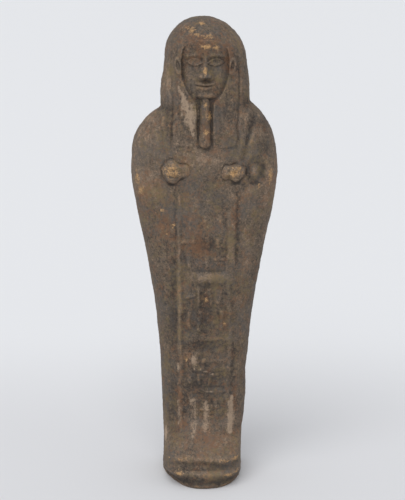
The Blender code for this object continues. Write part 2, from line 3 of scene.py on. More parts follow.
import bpy
import numpy as np
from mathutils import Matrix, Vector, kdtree


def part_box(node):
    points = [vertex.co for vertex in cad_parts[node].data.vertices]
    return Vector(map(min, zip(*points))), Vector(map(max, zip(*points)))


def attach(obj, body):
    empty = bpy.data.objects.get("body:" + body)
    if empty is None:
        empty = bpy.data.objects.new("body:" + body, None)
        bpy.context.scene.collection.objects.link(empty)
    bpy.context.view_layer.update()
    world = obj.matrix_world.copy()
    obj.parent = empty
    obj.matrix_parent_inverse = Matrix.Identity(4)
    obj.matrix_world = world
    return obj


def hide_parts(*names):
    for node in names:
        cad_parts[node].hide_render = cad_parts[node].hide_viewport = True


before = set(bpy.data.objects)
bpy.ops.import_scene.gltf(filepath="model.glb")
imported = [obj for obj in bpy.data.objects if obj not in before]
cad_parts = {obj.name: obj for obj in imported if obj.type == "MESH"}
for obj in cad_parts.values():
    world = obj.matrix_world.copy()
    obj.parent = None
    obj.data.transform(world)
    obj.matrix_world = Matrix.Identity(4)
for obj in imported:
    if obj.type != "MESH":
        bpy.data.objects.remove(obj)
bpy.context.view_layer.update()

bpy.ops.object.select_all(action="DESELECT")


# The viewpoint. Half a metre in front of the figure and a little higher than its crown, looking down at
# it, with the figure a hair right of the middle and a hair off upright, as in the photo.
CAMERA_DISTANCE = 0.500
CAMERA_HEIGHT = 0.210
CAMERA_SIDE = -0.00126
LOOKING_DOWN = math.radians(12.38)
CAMERA_ROLL = math.radians(-0.25)
FRAME_LONG_SIDE = 500
FOCAL_PIXELS = 1180.0
SENSOR = 36.0

bpy.ops.object.camera_add(
    location=(CAMERA_SIDE, -CAMERA_DISTANCE, CAMERA_HEIGHT),
    rotation=(math.pi / 2 - LOOKING_DOWN, CAMERA_ROLL, 0.0),
)
camera = bpy.context.object
camera.data.sensor_width = SENSOR
camera.data.lens = SENSOR * FOCAL_PIXELS / FRAME_LONG_SIDE
camera.data.clip_start = 0.01
camera.data.clip_end = 200.0
bpy.context.scene.camera = camera


# The floor and the light. A wide pale matt floor, painted darker near the camera and round the figure and
# lighter from a little way behind it as painted shade, one very soft lamp high in front and a little to
# the left, and an even pale sky that keeps the shadows open.
FLOOR_SIZE = 90.0
FLOOR_NEAR_SHADED_COLOUR, FLOOR_FAR_LIT_COLOUR = (0.735, 0.735, 0.75, 1.0), (0.82, 0.825, 0.84, 1.0)
FLOOR_NEAR_EDGE, FLOOR_FAR_EDGE = 0.03, 0.22
SKY_COLOUR = (0.95, 0.97, 1.0, 1.0)
SKY_STRENGTH = 0.62
LAMP_STRENGTH, LAMP_SOFTNESS, LAMP_HEIGHT, LAMP_SIDE = 1.5, 50.0, 52.0, 20.0

bpy.ops.mesh.primitive_plane_add(size=FLOOR_SIZE, location=(0.0, 0.0, 0.0))
floor = bpy.context.object
floor.name = "floor"
floor_paint = bpy.data.materials.new("pale_floor")
floor_paint.use_nodes = True
floor_nodes, floor_links = floor_paint.node_tree.nodes, floor_paint.node_tree.links
floor_shader = floor_nodes["Principled BSDF"]
floor_shader.inputs["Roughness"].default_value = 0.9
floor_place = floor_nodes.new("ShaderNodeTexCoord")
floor_depth = floor_nodes.new("ShaderNodeSeparateXYZ")
floor_links.new(floor_place.outputs["Object"], floor_depth.inputs["Vector"])
# Painted shade on the floor: darker near the camera and round the figure, lighter from a little way behind
# it.
floor_shade_fade = floor_nodes.new("ShaderNodeMapRange")
floor_shade_fade.interpolation_type = "SMOOTHSTEP"
floor_shade_fade.inputs["From Min"].default_value = FLOOR_NEAR_EDGE
floor_shade_fade.inputs["From Max"].default_value = FLOOR_FAR_EDGE
floor_links.new(floor_depth.outputs["Y"], floor_shade_fade.inputs["Value"])
floor_mix = floor_nodes.new("ShaderNodeMix")
floor_mix.data_type = "RGBA"
floor_mix.inputs[6].default_value = FLOOR_NEAR_SHADED_COLOUR
floor_mix.inputs[7].default_value = FLOOR_FAR_LIT_COLOUR
floor_links.new(floor_shade_fade.outputs["Result"], floor_mix.inputs[0])
floor_links.new(floor_mix.outputs[2], floor_shader.inputs["Base Color"])
floor.data.materials.append(floor_paint)

sky = bpy.data.worlds.new("soft_sky")
bpy.context.scene.world = sky
sky.use_nodes = True
sky.node_tree.nodes["Background"].inputs["Color"].default_value = SKY_COLOUR
sky.node_tree.nodes["Background"].inputs["Strength"].default_value = SKY_STRENGTH
bpy.context.scene.view_settings.view_transform = "Standard"

lamp_turn = (math.radians(90.0 - LAMP_HEIGHT), 0.0, math.radians(-LAMP_SIDE))
bpy.ops.object.light_add(type="SUN", rotation=lamp_turn)
lamp = bpy.context.object
lamp.data.energy = LAMP_STRENGTH
lamp.data.angle = math.radians(LAMP_SOFTNESS)


# The figure on its plinth, one block of dark brown stone. The stonemason's block is laid out first: plan
# sections up its height, the wrapped body's and the bell-shaped wig's merged into one, on the plinth.
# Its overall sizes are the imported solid's own. Heights are shares of the figure, up from the plinth.
NODE = "figure_on_plinth"
node_low, node_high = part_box(NODE)
PLINTH_HEIGHT = 0.0080
FIGURE_HEIGHT = node_high[2] - PLINTH_HEIGHT
SHOULDER_WIDTH = node_high[0] - node_low[0]
ANKLE_WIDTH, FOOT_WIDTH = 0.0342, 0.0342
WIG_HEM_WIDTH, WIG_DOME_WIDTH = 0.0376, 0.0342
CHEST_REACH, SHIN_REACH, TOE_REACH = 0.0165, 0.0128, 0.0238
BACK_REACH, CALF_REACH, HEEL_REACH = 0.0150, 0.0128, 0.0136
WIG_FRONT_REACH, WIG_BACK_REACH = 0.0158, 0.0168
TOE_GROOVE_LEVEL, TOE_EDGE, INSTEP_TOP = 0.0135, 0.0260, 0.096
WIDEST, DOME_FOOT = 0.663, 0.911
LEFT_SHOULDER, RIGHT_SHOULDER = (0.705, 0.830), (0.692, 0.850)
LAPPET_HEM, LAPPET_START, WIG_FALL_HEM, CHIN = 0.7244, 0.823, 0.740, 0.828
ROUNDNESS, WIG_ROUNDNESS, DOME_ROUNDNESS, TOE_SQUARENESS = 2.35, 2.1, 1.95, 4.6
LEFT_GROUND_ROUNDNESS, RIGHT_GROUND_ROUNDNESS = 1.85, 2.55
SHOULDER_SLOPE, SHOULDER_FULLNESS = 2.0, 2.6
CROWN_LEAN, FOOT_SHIFT = 0.0012, 0.0006
TOE_GROOVE = 0.0011
SIDE_REVEAL, FRONT_REVEAL, BACK_REVEAL, PLINTH_EDGE_ROUND = 0.0003, 0.0018, 0.0006, 0.0010
LEFT_CORNER_LOSS, RIGHT_CORNER_LOSS = 0.0012, 0.0004
BLEND, LEDGE, EDGE = 0.0012, 0.0008, 0.0007
HEM_TO_CHEST = 0.012


def level(share):
    """The height above the ground of a share of the figure's height."""
    return PLINTH_HEIGHT + share * FIGURE_HEIGHT


def curve_through(points):
    """A smooth function through (at, value) points that never overshoots them."""
    at, value = (np.array(column, float) for column in zip(*points))
    step, slope = np.diff(at), np.diff(value) / np.diff(at)
    turning = slope[:-1] * slope[1:] <= 0
    inner = 2 * slope[:-1] * slope[1:] / np.where(turning, 1.0, slope[:-1] + slope[1:])
    tangent = np.concatenate([[slope[0]], np.where(turning, 0.0, inner), [slope[-1]]])

    def curve(where):
        where = np.clip(where, at[0], at[-1])
        i = np.clip(np.searchsorted(at, where) - 1, 0, len(step) - 1)
        t = (where - at[i]) / step[i]
        rest = (1 + 2 * t) * (1 - t) ** 2 * value[i] + t * t * (3 - 2 * t) * value[i + 1]
        return rest + step[i] * (t * (1 - t) ** 2 * tangent[i] - t * t * (1 - t) * tangent[i + 1])

    return curve


def soft_step(distance, softness):
    """0 well below zero distance and 1 well above it, with a soft edge this wide."""
    t = np.clip(distance / softness + 0.5, 0.0, 1.0)
    return t * t * (3 - 2 * t)


def bell(distance, spread):
    """A smooth bump: 1 at no distance, falling away over the spread."""
    return np.exp(-((distance / spread) ** 2))


def wander(*place, size, turn):
    """A smooth unevenness between about -1 and 1, with swells of this size, the same every time."""
    chance = np.random.default_rng(turn)
    total = 0.0
    for _ in range(7):
        direction = chance.normal(size=len(place))
        direction = direction / np.linalg.norm(direction) * chance.uniform(0.6, 1.5) * 2 * math.pi / size
        along = sum(d * p for d, p in zip(direction, place))
        total = total + np.sin(along + chance.uniform(0, 2 * math.pi))
    return total / 2.6


def joined(first, second, blend):
    """The further out of two surfaces, with a fillet where they meet."""
    share = np.clip(0.5 + 0.5 * (first - second) / blend, 0.0, 1.0)
    return second + (first - second) * share + blend * share * (1 - share)


def section_radius(angle, half_width, front, back, squareness):
    """The distance from the axis to a superellipse section, at an angle in plan."""
    reach = np.maximum(np.where(np.sin(angle) < 0, front, back), 1e-6)
    across = np.abs(np.cos(angle)) / np.maximum(half_width, 1e-6)
    along = np.abs(np.sin(angle)) / reach
    return (across**squareness + along**squareness) ** (-1 / squareness)


def shoulder_arc(angle, z, squareness):
    """1 below the shoulders, falling to 0 on top of them. The left shoulder is a little lower."""
    to_right = 0.5 + 0.5 * np.cos(angle)
    ends = zip(LEFT_SHOULDER, RIGHT_SHOULDER)
    turn, top = (level(left + (right - left) * to_right) for left, right in ends)
    rise = np.clip((z - turn) / (top - turn), 0, 1)
    return (1 - rise**squareness) ** (1 / squareness)


def body_radius(angle, z):
    """The wrapped body: narrow ankles, toes that stand forward, a full chest and level shoulders."""
    share = (z - PLINTH_HEIGHT) / FIGURE_HEIGHT
    to_shoulder = curve_through([
        (0.047, 0.0), (0.110, 0.07), (0.180, 0.11), (0.250, 0.15), (0.350, 0.285), (0.500, 0.61),
        (0.590, 0.865), (0.640, 0.975), (WIDEST, 1.0), (0.702, 0.975),
    ])(share)
    to_chest = curve_through([
        (INSTEP_TOP, 0.0), (0.17, 0.05), (0.27, 0.38), (0.36, 0.66),
        (0.46, 0.82), (0.58, 0.93), (0.69, 1.0),
    ])(share)
    to_toes = curve_through([
        (TOE_EDGE - 0.010, 1.0), (TOE_EDGE, 0.955), (TOE_EDGE + 0.009, 0.83), (0.055, 0.52),
        (0.075, 0.20), (INSTEP_TOP + 0.012, 0.0),
    ])(share)
    to_back = curve_through([(0.10, 0.0), (0.25, 0.18), (0.45, 0.72), (0.56, 0.70), (0.69, 1.0)])(share)
    half_width = ANKLE_WIDTH / 2 + (SHOULDER_WIDTH - ANKLE_WIDTH) / 2 * to_shoulder
    half_width = half_width + (FOOT_WIDTH - ANKLE_WIDTH) / 2 * soft_step(0.022 - share, 0.02)
    waver = wander(np.cos(angle), np.sin(angle), size=0.45, turn=41)
    toe_groove = bell(share - TOE_GROOVE_LEVEL - 0.0008 * waver, 0.007) * (0.75 + 0.35 * np.cos(angle))
    toe_groove = TOE_GROOVE * (1 + 0.25 * waver) * toe_groove
    front = SHIN_REACH + (CHEST_REACH - SHIN_REACH) * to_chest
    front = front + (TOE_REACH - SHIN_REACH) * to_toes - toe_groove
    back = CALF_REACH + (BACK_REACH - CALF_REACH) * to_back
    back = back + (HEEL_REACH - CALF_REACH) * soft_step(0.03 - share, 0.03)
    squareness = ROUNDNESS + (TOE_SQUARENESS - ROUNDNESS) * soft_step(0.055 - share, 0.045)
    half_width = half_width * shoulder_arc(angle, z, SHOULDER_SLOPE)
    fullness = shoulder_arc(angle, z, SHOULDER_FULLNESS)
    return section_radius(angle, half_width, front * fullness, back * fullness, squareness)


def wig_radius(angle, z):
    """The bell-shaped wig: a dome on top, widening to its hem, and buried in the chest below that."""
    foot = level(DOME_FOOT)
    up_the_dome = np.clip((z - foot) / (level(1.0) - foot), 0.0, 1.0)
    dome = np.sqrt(1 - up_the_dome**DOME_ROUNDNESS)
    down = np.clip((foot - z) / (foot - level(CHIN)), 0.0, 1.0)
    flare = (WIG_HEM_WIDTH - WIG_DOME_WIDTH) / 2 * np.sin(down * math.pi / 2)
    buried = soft_step(z - level(LAPPET_HEM), HEM_TO_CHEST)
    half_width = (WIG_DOME_WIDTH / 2 * dome + flare) * buried
    front, back = WIG_FRONT_REACH * dome * buried, WIG_BACK_REACH * dome * buried
    return section_radius(angle, half_width, front, back, WIG_ROUNDNESS)


def plinth_radius(angle, z):
    """The low plinth, a little larger all round than the feet, with worn edges."""
    to_right = 0.5 + 0.5 * np.cos(angle)
    on_ground = LEFT_GROUND_ROUNDNESS + (RIGHT_GROUND_ROUNDNESS - LEFT_GROUND_ROUNDNESS) * to_right
    near_feet = soft_step(z - 0.75 * PLINTH_HEIGHT, 0.9 * PLINTH_HEIGHT)
    squareness = on_ground + (TOE_SQUARENESS - on_ground) * near_feet
    squareness = np.where(np.sin(angle) < 0, squareness, TOE_SQUARENESS)
    half_width = FOOT_WIDTH / 2 + SIDE_REVEAL
    front, back = TOE_REACH + FRONT_REVEAL, HEEL_REACH + BACK_REVEAL
    radius = section_radius(angle, half_width, front, back, squareness)
    near_edge = bell(PLINTH_HEIGHT - z, PLINTH_EDGE_ROUND) + bell(z, 0.7 * PLINTH_EDGE_ROUND)
    return radius - PLINTH_EDGE_ROUND * near_edge


def worn_corners(angle, z):
    """The stone lost from the plinth's two front corners: most on the left, and most at the ground."""
    left = LEFT_CORNER_LOSS * bell(angle - math.radians(240), 0.40)
    right = bell(angle - math.radians(312), 0.35) + bell(angle + math.radians(48), 0.35)
    right = RIGHT_CORNER_LOSS * right
    return (left + right) * (1 - 0.80 * soft_step(z - 0.5 * PLINTH_HEIGHT, 1.1 * PLINTH_HEIGHT))


def block_radius(angle, z):
    """Wig, body and plinth merged into the one block."""
    body = joined(body_radius(angle, z), wig_radius(angle, z), BLEND)
    on_plinth = soft_step(z - PLINTH_HEIGHT, LEDGE)
    whole = plinth_radius(angle, z) * (1 - on_plinth) + body * on_plinth
    return whole - worn_corners(angle, z) * soft_step(level(0.05) - z, 0.04 * FIGURE_HEIGHT)


# The face, set back between the wig's inner edges. It is a plain calm mask on the usual thirds from
# hairline to chin, cut in the same stone, with small ears in front of the wig.
FACE_HEIGHT, FACE_WIDTH, FACE_REACH = 0.0238, 0.0196, 0.0153
THIRD = FACE_HEIGHT / 3
BEARD_WIDTH, BEARD_GAP = 0.0057, 0.0004
EAR_RISE, EAR_HOLLOW, LOBE_RISE = 0.0010, 0.0007, 0.0002
EYE_PLACE, EYE_LEVEL, BROW_LEVEL, NOSE_LEVEL, MOUTH_LEVEL = 0.44, 1.84, 2.20, 1.04, 0.63


def opening_half_width(z):
    """Half the gap between the wig's two inner edges: round the face, then close beside the beard."""
    face, chin = FACE_WIDTH / 2, level(CHIN)
    beside_beard = BEARD_WIDTH / 2 + BEARD_GAP
    return curve_through([
        (chin - 0.34 * FACE_HEIGHT, beside_beard), (chin - 0.12 * FACE_HEIGHT, beside_beard * 1.08),
        (chin + 0.06 * FACE_HEIGHT, face * 0.66), (chin + 0.24 * FACE_HEIGHT, face * 0.87),
        (chin + 0.45 * FACE_HEIGHT, face * 0.985), (chin + 0.60 * FACE_HEIGHT, face),
        (chin + 0.80 * FACE_HEIGHT, face * 0.94), (chin + 0.94 * FACE_HEIGHT, face * 0.72),
        (chin + 0.99 * FACE_HEIGHT, face * 0.40), (chin + 1.005 * FACE_HEIGHT, face * -0.20),
    ])(z)


def inside_opening(x, z):
    """How far inside the wig's inner edge each point lies, measured square to that edge."""
    slope = (opening_half_width(z + 0.0003) - opening_half_width(z - 0.0003)) / 0.0006
    return (opening_half_width(z) - np.abs(x)) / np.sqrt(1 + slope**2)


def face_reach(x, z):
    """How far forward each point of the face lies. Side and up are in half widths and thirds."""
    half = FACE_WIDTH / 2
    side, up = np.abs(x) / half, (z - level(CHIN)) / THIRD
    out = FACE_REACH - 0.36 * half * side**2.3 - 0.05 * THIRD * np.clip(up - 2.1, 0, None) ** 2
    out = out + 0.09 * THIRD * bell(side - 0.56, 0.32) * bell(up - 1.12, 0.45)

    from_eye = side - EYE_PLACE
    eye_middle = EYE_LEVEL + 0.05 * from_eye
    lid = 0.20 * np.clip(1 - (np.abs(from_eye) / 0.33) ** 2.2, 0, None)
    above, below = up - eye_middle - lid, eye_middle - 0.8 * lid - up
    inside_lids = soft_step(-np.maximum(above, below), 0.05)
    rim = (bell(above, 0.045) + 0.7 * bell(below, 0.045)) * soft_step(0.36 - np.abs(from_eye), 0.06)
    ball = np.sqrt(np.clip(1 - (from_eye / 0.36) ** 2 - ((up - eye_middle) / 0.30) ** 2, 0, None))
    socket = bell(from_eye, 0.34) * bell(up - EYE_LEVEL - 0.02, 0.25)
    brow_line = BROW_LEVEL - 0.25 * (side - 0.40) ** 2
    brow = bell(up - brow_line, 0.10) * soft_step(side - 0.13, 0.12) * soft_step(0.86 - side, 0.2)
    out = out + THIRD * (0.055 * brow - 0.16 * socket + 0.10 * ball * inside_lids + 0.030 * rim)

    down_nose = np.clip((BROW_LEVEL - up) / 1.10, 0.0, 1.0)
    ridge = (0.07 + 0.33 * down_nose**1.2) * bell(side, 0.11 + 0.12 * down_nose**1.4)
    wing = 0.13 * bell(side - 0.23, 0.09) * bell(up - NOSE_LEVEL - 0.12, 0.12)
    nostril = 0.05 * bell(side - 0.16, 0.05) * bell(up - NOSE_LEVEL + 0.01, 0.05)
    nose_end = soft_step(up - NOSE_LEVEL + 0.35 * side, 0.18)
    out = out + THIRD * (ridge * nose_end * soft_step(2.30 - up, 0.5) + wing - nostril)

    lip_line = MOUTH_LEVEL + 0.05 * (side / 0.36) ** 2
    lips = np.sqrt(np.clip(1 - (side / 0.42) ** 2, 0, None))
    upper_lip = bell(up - lip_line - 0.10, 0.075)
    upper_lip = upper_lip - 0.3 * bell(side, 0.06) * bell(up - lip_line - 0.20, 0.06)
    lower_lip = bell(up - lip_line + 0.12, 0.09) * lips
    parting = bell(up - lip_line, 0.035)
    out = out + 0.12 * THIRD * bell(side, 0.50) * bell(up - 0.60, 0.42)
    out = out + THIRD * lips * (0.085 * upper_lip + 0.085 * lower_lip - 0.07 * parting)
    return out + 0.14 * THIRD * bell(side, 0.34) * bell(up - 0.14, 0.20)


def carve_face(x, z, reach):
    """Sets the face and the throat back between the wig's inner edges."""
    slope = shoulder_arc(np.where(x < 0, math.pi, 0.0), z, SHOULDER_FULLNESS)
    throat = np.maximum(CHEST_REACH * slope, 0.965 * FACE_REACH)
    jaw = level(CHIN) + 0.12 * FACE_HEIGHT * (2 * x / FACE_WIDTH) ** 2
    above_jaw = soft_step(z - jaw, 2 * EDGE)
    inside = throat * (1 - above_jaw) + face_reach(x, z) * above_jaw
    gap = soft_step(inside_opening(x, z), EDGE) * soft_step(z - level(LAPPET_HEM), EDGE)
    return reach * (1 - gap) + inside * gap


def ears(x, z):
    """Two small ears in front of the wig from the brow to the nose: a rim, a hollow and a lobe."""
    across = (np.abs(x) - FACE_WIDTH / 2 - 0.0013) / 0.0016
    along = (z - level(CHIN) - 1.62 * THIRD) / (0.46 * THIRD)
    away = np.sqrt((across - 0.35 * along) ** 2 + along**2)
    hollow = soft_step(0.50 - np.hypot(across - 0.35 * along, along - 0.12), 0.35)
    lobe = bell(along + 0.70, 0.2) * bell(across, 0.5)
    return EAR_RISE * soft_step(1 - away, 0.45) - EAR_HOLLOW * hollow + LOBE_RISE * lobe


# The wig's front: two lappets that end in a straight hem on the chest, with longer locks outside them,
# and the long ceremonial beard between them. The back end hangs between the shoulder blades.
LAPPET_WIDTH = 0.0104
LAPPET_RISE, LOCK_RISE, FALL_RISE, BEARD_RISE = 0.0013, 0.0008, 0.0014, 0.0028
BEARD_TIP, BEARD_STANDS_OUT = 0.7214, 0.0007
LOCK_PARTING, GROOVE_DEPTH, GROOVE_WIDTH = 0.0006, 0.0008, 0.0013


def lappets(x, z):
    """The lappets and the locks outside them, as a rise above the chest."""
    side = np.abs(x)
    lappet_edge = BEARD_WIDTH / 2 + LAPPET_WIDTH
    down = np.clip((level(LAPPET_START) - z) / (level(LAPPET_START) - level(LAPPET_HEM)), 0.0, 1.0)
    lock_edge = WIG_HEM_WIDTH / 2 * (1 - 0.10 * down)
    started = soft_step(level(LAPPET_START) - 0.004 - z, 0.014)
    beside_face = soft_step(-inside_opening(x, z), EDGE)
    round_hem = 0.0010 * bell(side - lappet_edge, 0.0022)
    round_hem = round_hem + 0.0008 * bell(side - BEARD_WIDTH / 2, 0.0020)
    hem = soft_step(z - level(LAPPET_HEM) - round_hem, EDGE)
    lappet = soft_step(lappet_edge - side, EDGE) * hem
    lock = soft_step(lock_edge - side, 1.4 * EDGE) * soft_step(z - level(LAPPET_HEM) + 0.001, 0.006)
    parting = LOCK_PARTING * bell(side - lappet_edge - 0.0004, EDGE) * lock
    parting = parting * soft_step(level(CHIN) + 0.8 * FACE_HEIGHT - z, 0.8 * FACE_HEIGHT)
    raised = LOCK_RISE * lock + (LAPPET_RISE - LOCK_RISE) * lappet
    raised = raised * (1 - 0.55 * soft_step(level(LAPPET_HEM) + 0.006 - z, 0.010))
    return (raised * started - parting) * beside_face


def handle_groove(x, z):
    """The line that parts the right lock from the arm, running down and inwards to the fist."""
    top = 0.640 * SHOULDER_WIDTH / 2, level(0.785)
    foot = 0.515 * SHOULDER_WIDTH / 2, level(0.700)
    return -GROOVE_DEPTH * bell(along_bar(x, z, top, foot)[1], GROOVE_WIDTH)


def beard(x, z, reach):
    """A half-round bar from the chin down to the lappets' hem, with a rounded tip."""
    top, tip = level(CHIN) + 0.0004, level(BEARD_TIP)
    down = np.clip((top - z) / (top - tip), 0.0, 1.0)
    half_width = BEARD_WIDTH / 2 * (0.74 + 0.26 * down)
    to_tip = np.clip((z - tip) / half_width, 0.0, 1.0)
    round_tip = np.sqrt(np.clip(1 - (1 - to_tip) ** 2, 1e-9, 1))
    half_width = half_width * round_tip
    across = np.sqrt(np.clip(1 - (x / half_width) ** 2, 0.0, 1.0))
    front_line = FACE_REACH + BEARD_STANDS_OUT + (CHEST_REACH + LAPPET_RISE - FACE_REACH) * down
    surface = front_line - BEARD_RISE * (1 - across * round_tip)
    shown = (np.abs(x) < half_width) & (z > tip) & (z < top)
    return np.where(shown, np.maximum(reach, surface), reach)


def back_of_wig(x, z):
    """The wig's back end, a rise above the back."""
    half_width = 0.44 * SHOULDER_WIDTH / 2 * (1 + 0.5 * soft_step(z - level(0.79), 0.02))
    fall = soft_step(half_width - np.abs(x), EDGE) * soft_step(z - level(WIG_FALL_HEM), EDGE)
    return FALL_RISE * fall * soft_step(level(LAPPET_START) - 0.002 - z, 0.012)


def hair_lines(x, y, z):
    """Faint upright lines, nearly worn off, that run down the whole wig."""
    on_wig = soft_step(z - level(LAPPET_HEM) - 0.001, 0.003)
    lines = wander(x, y, 0.06 * z, size=0.0019, turn=31)
    return 0.00008 * lines * on_wig * (0.5 + 0.5 * wander(x, y, z, size=0.02, turn=32))


# The hands. Two fists come out of the wrapping on the chest, each tapering inwards to its wrist, with a
# small knot in a sunk oval outside the right one.
FIST_LEVEL, FIST_WIDTH, FIST_RISE, FINGER_DEPTH = 0.6695, 0.0090, 0.0026, 0.0004
KNOT_HEIGHT, KNOT_RISE, KNOT_HOLLOW = 0.0100, 0.0013, 0.0011


def along_bar(x, z, start, end):
    """How far along a straight line on the front each point lies, from 0 to 1, and how far off it."""
    (x0, z0), (x1, z1) = start, end
    length = math.hypot(x1 - x0, z1 - z0)
    dx, dz = (x1 - x0) / length, (z1 - z0) / length
    t = np.clip((x - x0) * dx + (z - z0) * dz, 0.0, length)
    return t / length, np.hypot(x - x0 - t * dx, z - z0 - t * dz)


def fist_place(side):
    """The middle of a fist's knuckles. The right one is a little nearer the middle."""
    return (side * 0.4145 - 0.0035) * SHOULDER_WIDTH / 2, level(FIST_LEVEL)


def fists(x, z):
    """Both fists with their fingers, and the rim of the wrapping round each."""
    out = np.zeros_like(x)
    for side in (-1, 1):
        knuckle_x, knuckle_z = fist_place(side)
        length, lift = (0.41 - 0.09 * side) * FIST_WIDTH, (0.05 - 0.04 * side) * FIST_WIDTH
        wrist = knuckle_x - side * length, knuckle_z + lift
        inwards, away = along_bar(x, z, (knuckle_x, knuckle_z), wrist)
        across = FIST_WIDTH * (0.93 - 0.07 * side)
        away = away / (across / 2 * (1 - (0.35 - 0.15 * side) * inwards))
        away = away * (1 + 0.06 * wander(x, z, size=0.005, turn=6))
        hand = FIST_RISE * (1 - (0.55 - 0.20 * side) * inwards) * np.clip(1 - away**2.2, 0.0, 1.0) ** 0.7
        up = (z - knuckle_z) / FIST_WIDTH
        grip = bell(np.sin(4 * math.pi * up), 0.40) * soft_step(0.80 - away, 0.3) * (1 - inwards)
        fingers = FINGER_DEPTH * grip
        thumb_tip = knuckle_x + side * 0.001, knuckle_z + 0.0030
        thumb = FINGER_DEPTH * bell(along_bar(x, z, thumb_tip, wrist)[1], 0.0012)
        uneven = 0.6 + 0.5 * wander(x, z, size=0.006, turn=4)
        opening = FINGER_DEPTH * bell(away - 1.12, 0.14) * uneven
        hand = hand * (1 + 0.10 * wander(x, z, size=0.0028, turn=7))
        out = out + hand - fingers * (0.75 + 0.5 * wander(x, z, size=0.004, turn=3)) + thumb - opening
    return out


def knot(x, z):
    """The small boss in its sunk oval."""
    fist_x, fist_z = fist_place(1)
    across = (x - fist_x - 0.953 * FIST_WIDTH) / (0.39 * KNOT_HEIGHT)
    along = (z - fist_z) / (0.54 * KNOT_HEIGHT)
    boss = KNOT_RISE * bell(np.hypot(across + 0.18, 0.8 * along), 0.42)
    return boss - KNOT_HOLLOW * soft_step(1 - np.hypot(across, along), 0.8)


# The panel down the front: two upright borders, bars that part it into fields, and rows of short strokes
# where the signs have worn down. All of it is very low, and half gone in places.
PANEL_TOP, PANEL_FOOT, BROAD_BAR, SUNK_BAND = 0.620, 0.0755, 0.4365, 0.269
BORDER_WIDTH, BROAD_BORDER_WIDTH, BORDER_RISE = 0.0018, 0.0038, 0.0006
STROKE_WIDTH, STROKE_RISE = 0.0015, 0.0005


def bar(x, z, start, end, width, rise):
    """A raised bar with round ends, worn to a low rounded ridge."""
    return rise * soft_step(width / 2 - along_bar(x, z, start, end)[1], 0.8 * width)


def panel_edge(side, z):
    """The panel's upright borders lean in a little towards the feet."""
    up = np.clip((z - level(PANEL_FOOT)) / (level(PANEL_TOP) - level(PANEL_FOOT)), 0.0, 1.0)
    return 0.0002 + side * (0.0104 + 0.0007 * up)


def panel(x, z):
    """The borders and the bars. The right border is broad down to the broad bar."""
    foot, top, broad_bar = level(PANEL_FOOT), level(PANEL_TOP), level(BROAD_BAR)
    out = np.zeros_like(x)
    for side in (-1, 1):
        broadened = (side > 0) * soft_step(z - broad_bar, 0.004)
        width = BORDER_WIDTH + (BROAD_BORDER_WIDTH - BORDER_WIDTH) * broadened
        away = np.abs(x - panel_edge(side, z))
        fade = soft_step(z - foot, 0.004) * soft_step(top - z, 0.006)
        upright = soft_step(width / 2 - away, 2 * EDGE) * fade
        out = np.maximum(out, BORDER_RISE * upright * (0.55 + 0.45 * broadened if side > 0 else 1.0))
        outside = np.abs(x - panel_edge(side, z) - side * (width / 2 + 0.0009))
        out = out - 0.0002 * bell(outside, 0.0009) * fade
    for share in (BROAD_BAR, 0.292, 0.222, 0.170):
        z_bar, width = level(share), BROAD_BORDER_WIDTH if share == BROAD_BAR else BORDER_WIDTH
        left, right = panel_edge(-1, z_bar) + 3.2 * BORDER_WIDTH, panel_edge(1, z_bar)
        rise = BORDER_RISE * (1.0 if share == BROAD_BAR else 0.6)
        out = np.maximum(out, bar(x, z, (left, z_bar), (right, z_bar), width, rise))
    inside = soft_step(panel_edge(1, z) - 0.002 - np.abs(x), 0.002)
    return out - 0.0005 * inside * bell(z - level(SUNK_BAND), 0.0030)


def strokes(x, z):
    """Rows of short plain strokes in the panel's fields. They spell nothing."""
    out = np.zeros_like(x)
    upper_fields = (0.574, 0.4565, 3, 3), (0.419, 0.308, 2, 4)
    lower_fields = (0.250, 0.234, 1, 3), (0.210, 0.182, 1, 4), (0.158, 0.093, 1, 3)
    for field, (top, foot, rows, count) in enumerate(upper_fields + lower_fields):
        row_height = (level(top) - level(foot)) / rows
        for row in range(rows):
            middle = level(top) - (row + 0.5) * row_height
            left, right = panel_edge(-1, middle) + BORDER_WIDTH, panel_edge(1, middle) - BORDER_WIDTH
            for place in range(count):
                shift = 0.14 * math.sin(5 * row + 3 * place + field)
                centre = left + (place + 0.5 + shift) / count * (right - left)
                lean = 0.12 * math.sin(4 * place + 2 * field + row)
                half = (0.30 + 0.10 * math.sin(7 * place + 4 * row + 2 * field)) * row_height
                lies_flat = (2 * place + row + field) % 5 == 1
                flat = 0.32 * (right - left) / count, lean * half
                dx, dz = flat if lies_flat else (lean * half, half)
                ends = (centre - dx, middle - dz), (centre + dx, middle + dz)
                out = np.maximum(out, bar(x, z, *ends, STROKE_WIDTH, STROKE_RISE))
    return out


def sideways(z):
    """How far off the axis each level stands: the crown and the feet are a little to the left."""
    up_the_dome = np.clip((z - level(DOME_FOOT)) / (level(1.0) - level(DOME_FOOT)), 0.0, 1.0)
    return -CROWN_LEAN * up_the_dome**1.2 - FOOT_SHIFT * soft_step(level(0.07) - z, 0.03)


def losses(x, y, z):
    """Stone knocked off the edges: how far each point has gone in. Sizes are shares of half the width."""
    lost = np.zeros_like(x)
    half = SHOULDER_WIDTH / 2
    for at_x, at_y, share, size, depth in (
        (-0.62, 0.00, 0.888, 0.095, 0.022),
        (0.86, -0.10, 0.789, 0.083, 0.025),
        (0.60, -0.03, 0.205, 0.133, 0.013),
        (0.98, -0.06, 0.717, 0.254, 0.019),
        (0.99, -0.19, 0.640, 0.190, 0.019),
    ):
        away = np.sqrt((x - at_x * half) ** 2 + (y - at_y * half) ** 2 + (z - level(share)) ** 2)
        lost = lost + depth * half * bell(away, size * half)
    return lost


# Cutting the block. A flat grid is laid over it like a skin, from the middle of the underside round the
# plinth's edge and up to the crown, and each of its points goes to its place on the carved surface.
COLUMNS, UNDERSIDE_ROWS, UPRIGHT_ROWS, DOME_ROWS = 720, 12, 740, 130
FRONT_CROWDING = 0.3

